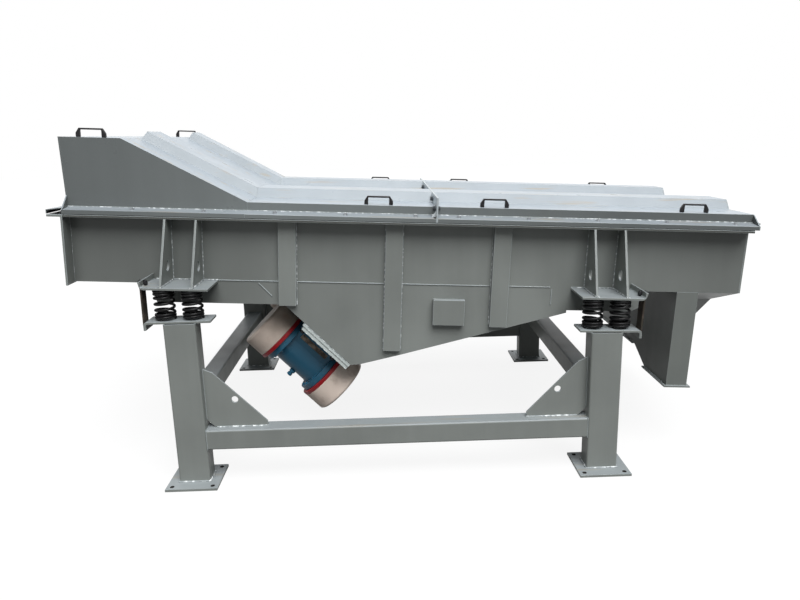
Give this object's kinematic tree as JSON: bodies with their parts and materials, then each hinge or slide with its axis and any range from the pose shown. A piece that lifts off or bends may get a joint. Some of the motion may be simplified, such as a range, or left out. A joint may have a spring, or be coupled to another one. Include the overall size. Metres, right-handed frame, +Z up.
{
  "type": "linear vibrating screen",
  "caption": "Covered linear vibrating screen on a steel frame: sloping box on coil springs at its corners, a raised feed hood, ribbed covers, slanted vibrator motors and discharge chutes.",
  "frame": {"origin": "on the floor at the centre of the four legs", "axes": "+X along the machine from the feed end to the discharge end, +Y to the far side, +Z up"},
  "size_m": [3.3974, 1.985, 1.7069],
  "materials": {
    "painted": "satin grey paint",
    "cover_paint": "satin light grey paint",
    "black_paint": "black paint",
    "motor_blue": "blue enamel",
    "motor_cream": "cream enamel",
    "motor_red": "red enamel",
    "belt": "matt belt",
    "seal": "matt rubber",
    "deck": "worn steel screen cloth"
  },
  "bodies": {
    "root": {"bottom_pan": "painted", "box_flange_far": "painted", "box_flange_near": "painted", "bracket_front_discharge": "painted", "bracket_front_feed": "painted", "bracket_rear_discharge": "painted", "bracket_rear_feed": "painted", "chute_narrow": "painted", "chute_wide": "painted", "cover_discharge": "cover_paint", "cover_end": "cover_paint", "cover_feed": "cover_paint", "cover_seals": "seal", "discharge_end_plate": "painted", "discharge_side_beam": "painted", "feed_end_plate": "painted", "feed_side_beam": "painted", "foot_front_discharge": "painted", "foot_front_feed": "painted", "foot_rear_discharge": "painted", "foot_rear_feed": "painted", "front_beam": "painted", "front_corner_webs": "painted", "handles_discharge": "black_paint", "handles_feed": "black_paint", "hood": "cover_paint", "hood_end": "cover_paint", "joint_flange": "cover_paint", "leg_front_discharge": "painted", "leg_front_feed": "painted", "leg_rear_discharge": "painted", "leg_rear_feed": "painted", "limit_straps": "belt", "lower_deck": "deck", "motor_far_body": "motor_blue", "motor_far_covers": "motor_cream", "motor_far_rings": "motor_red", "motor_mount": "painted", "motor_near_body": "motor_blue", "motor_near_covers": "motor_cream", "motor_near_rings": "motor_red", "rear_beam": "painted", "rear_corner_webs": "painted", "ribs_far": "painted", "ribs_near": "painted", "seat_front_discharge": "painted", "seat_front_feed": "painted", "seat_rear_discharge": "painted", "seat_rear_feed": "painted", "side_pads": "painted", "side_plate_far": "painted", "side_plate_near": "painted", "springs_front_discharge": "black_paint", "springs_front_feed": "black_paint", "springs_rear_discharge": "black_paint", "springs_rear_feed": "black_paint", "upper_deck": "deck"}
  },
  "joints": []
}
